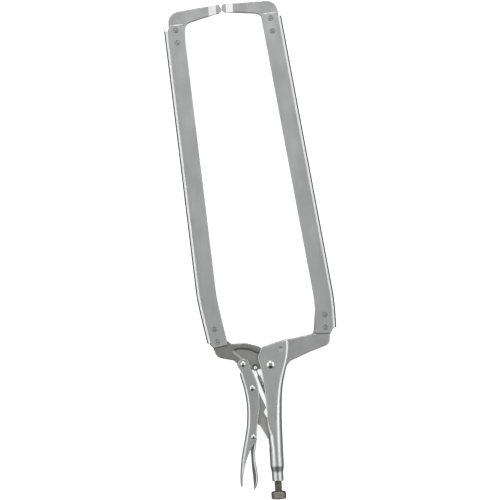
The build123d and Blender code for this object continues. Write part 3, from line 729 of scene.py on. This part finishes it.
def grooved_rivets(node, body):
    """Two flat arm rivets with a set ring in each head, in place of the CAD node's domes."""
    low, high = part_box(node)
    middle = (low[2] + high[2]) / 2
    seat = (high[2] - low[2]) / 2 - ARM_RIVET_HEIGHT
    profile = [(radius * MM, middle + seat + height * MM) for radius, height in ARM_RIVET_HEAD]
    profile.append((ARM_RIVET_SHANK, middle + seat))
    mirrored = [(radius, 2 * middle - z) for radius, z in reversed(profile)]
    points, faces = [], []
    for centre_x, centre_y in rivet_centres(node):
        rings = []
        for radius, z in profile + mirrored:
            ring = []
            for step in range(ARM_RIVET_SEGMENTS):
                angle = 2 * math.pi * step / ARM_RIVET_SEGMENTS
                x = centre_x + radius * math.cos(angle)
                y = centre_y - radius * math.sin(angle)
                ring.append(Vector((x, y, z)))
            rings.append(ring)
        rivet_points, rivet_faces = skin(rings)
        shift = len(points)
        points += rivet_points
        faces += [tuple(index + shift for index in face) for face in rivet_faces]
    name = node.replace("rivets", "grooved_rivets")
    piece = new_piece(name, mesh_from(name, points, faces), "arm_rivet")
    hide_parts(node)
    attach(piece, body)


# ---------------------------------------------------------------- stage

def pale_floor():
    """Evenly lit light table that the clamp lies on. The metal doesn't mirror it."""
    signs = ((-1, -1), (1, -1), (1, 1), (-1, 1))
    corners = [(x * FLOOR_REACH, y * FLOOR_REACH, 0.0) for x, y in signs]
    mesh = mesh_from("floor", corners, [(0, 1, 2, 3)])
    floor = bpy.data.objects.new("floor", mesh)
    bpy.context.scene.collection.objects.link(floor)
    material = bpy.data.materials.new("floor_white")
    material.use_nodes = True
    tree, surface = opened(material)
    surface.inputs["Roughness"].default_value = 0.9
    surface.inputs["Specular IOR Level"].default_value = 0.0
    surface.inputs["Emission Color"].default_value = (1.0, 1.0, 1.0, 1.0)
    surface.inputs["Emission Strength"].default_value = FLOOR_GLOW
    patches = remap(tree, noise(tree, (3.0, 3.0, 3.0)), 0.3, 0.7, 0.0, 1.0)
    tree.links.new(mix_colour(tree, patches, *FLOOR_GREYS), surface.inputs["Base Color"])
    mesh.materials.append(material)
    floor.visible_glossy = False


def studio_world():
    """Even grey overhead, paler towards the horizon and dark below it.

    A dark screen stands beyond the knob's end.
    """
    world = bpy.data.worlds.new("studio")
    bpy.context.scene.world = world
    world.use_nodes = True
    tree = world.node_tree
    background = tree.nodes["Background"]
    coordinates = add(tree, "ShaderNodeTexCoord")
    parts = add(tree, "ShaderNodeSeparateXYZ")
    ramp = add(tree, "ShaderNodeValToRGB")
    tree.links.new(coordinates.outputs["Generated"], parts.inputs["Vector"])
    height = remap(tree, parts.outputs["Z"], -1.0, 1.0, 0.0, 1.0)
    tree.links.new(height, ramp.inputs["Fac"])
    levels = ramp.color_ramp.elements
    levels[0].position, levels[1].position = SKY_LEVELS[0][0], SKY_LEVELS[-1][0]
    for place, _ in SKY_LEVELS[1:-1]:
        levels.new(place)
    for element, (_, grey) in zip(levels, SKY_LEVELS):
        element.color = (grey, grey, grey, 1.0)
    tree.links.new(ramp.outputs["Color"], background.inputs["Color"])
    near_screen = add(tree, "ShaderNodeVectorMath", operation="DOT_PRODUCT")
    tree.links.new(coordinates.outputs["Generated"], near_screen.inputs[0])
    near_screen.inputs[1].default_value = DARK_SCREEN
    screened = remap(tree, near_screen.outputs["Value"], *SCREEN_EDGE, 1.0, SCREEN_STRENGTH)
    tree.links.new(screened, background.inputs["Strength"])


def softbox(name, place, size, power):
    """Area light at that place, turned to the middle of the clamp."""
    light = bpy.data.lights.new(name, "AREA")
    light.shape = "RECTANGLE"
    light.size, light.size_y = size
    light.energy = power
    lamp = bpy.data.objects.new(name, light)
    bpy.context.scene.collection.objects.link(lamp)
    lamp.location = place
    lamp.rotation_euler = (-Vector(place)).to_track_quat("-Z", "Y").to_euler()


def camera_above():
    """Long lens straight above, turned so that the clamp leans as in the photograph."""
    camera = bpy.data.cameras.new("camera")
    camera.sensor_width = SENSOR
    camera.lens = SENSOR * CAMERA_HEIGHT / VIEW_WIDTH
    holder = bpy.data.objects.new("camera", camera)
    bpy.context.scene.collection.objects.link(holder)
    holder.location = (*AIM, MIDDLE_PLANE + CAMERA_HEIGHT)
    holder.rotation_euler = (0.0, 0.0, -PHOTO_TILT)
    bpy.context.scene.camera = holder


finish_cad_nodes()
threaded_screw()
knurled_knob()
coil_spring()
for side, rider in (("fixed", "fixed_side"), ("movable", "movable_jaw_side")):
    for end in ("tip", "foot"):
        grooved_rivets(f"{side}_arm_{end}_rivets", rider)

pale_floor()
studio_world()
for box_name, sign in (("left_box", -1), ("right_box", 1)):
    box_place = (sign * SIDE_BOX_REACH, SIDE_BOX_Y, SIDE_BOX_REACH)
    softbox(box_name, box_place, SIDE_BOX_SIZE, SIDE_BOX_POWER)
softbox("head_box", HEAD_BOX_PLACE, HEAD_BOX_SIZE, HEAD_BOX_POWER)
camera_above()
bpy.context.scene.view_settings.view_transform = "Standard"
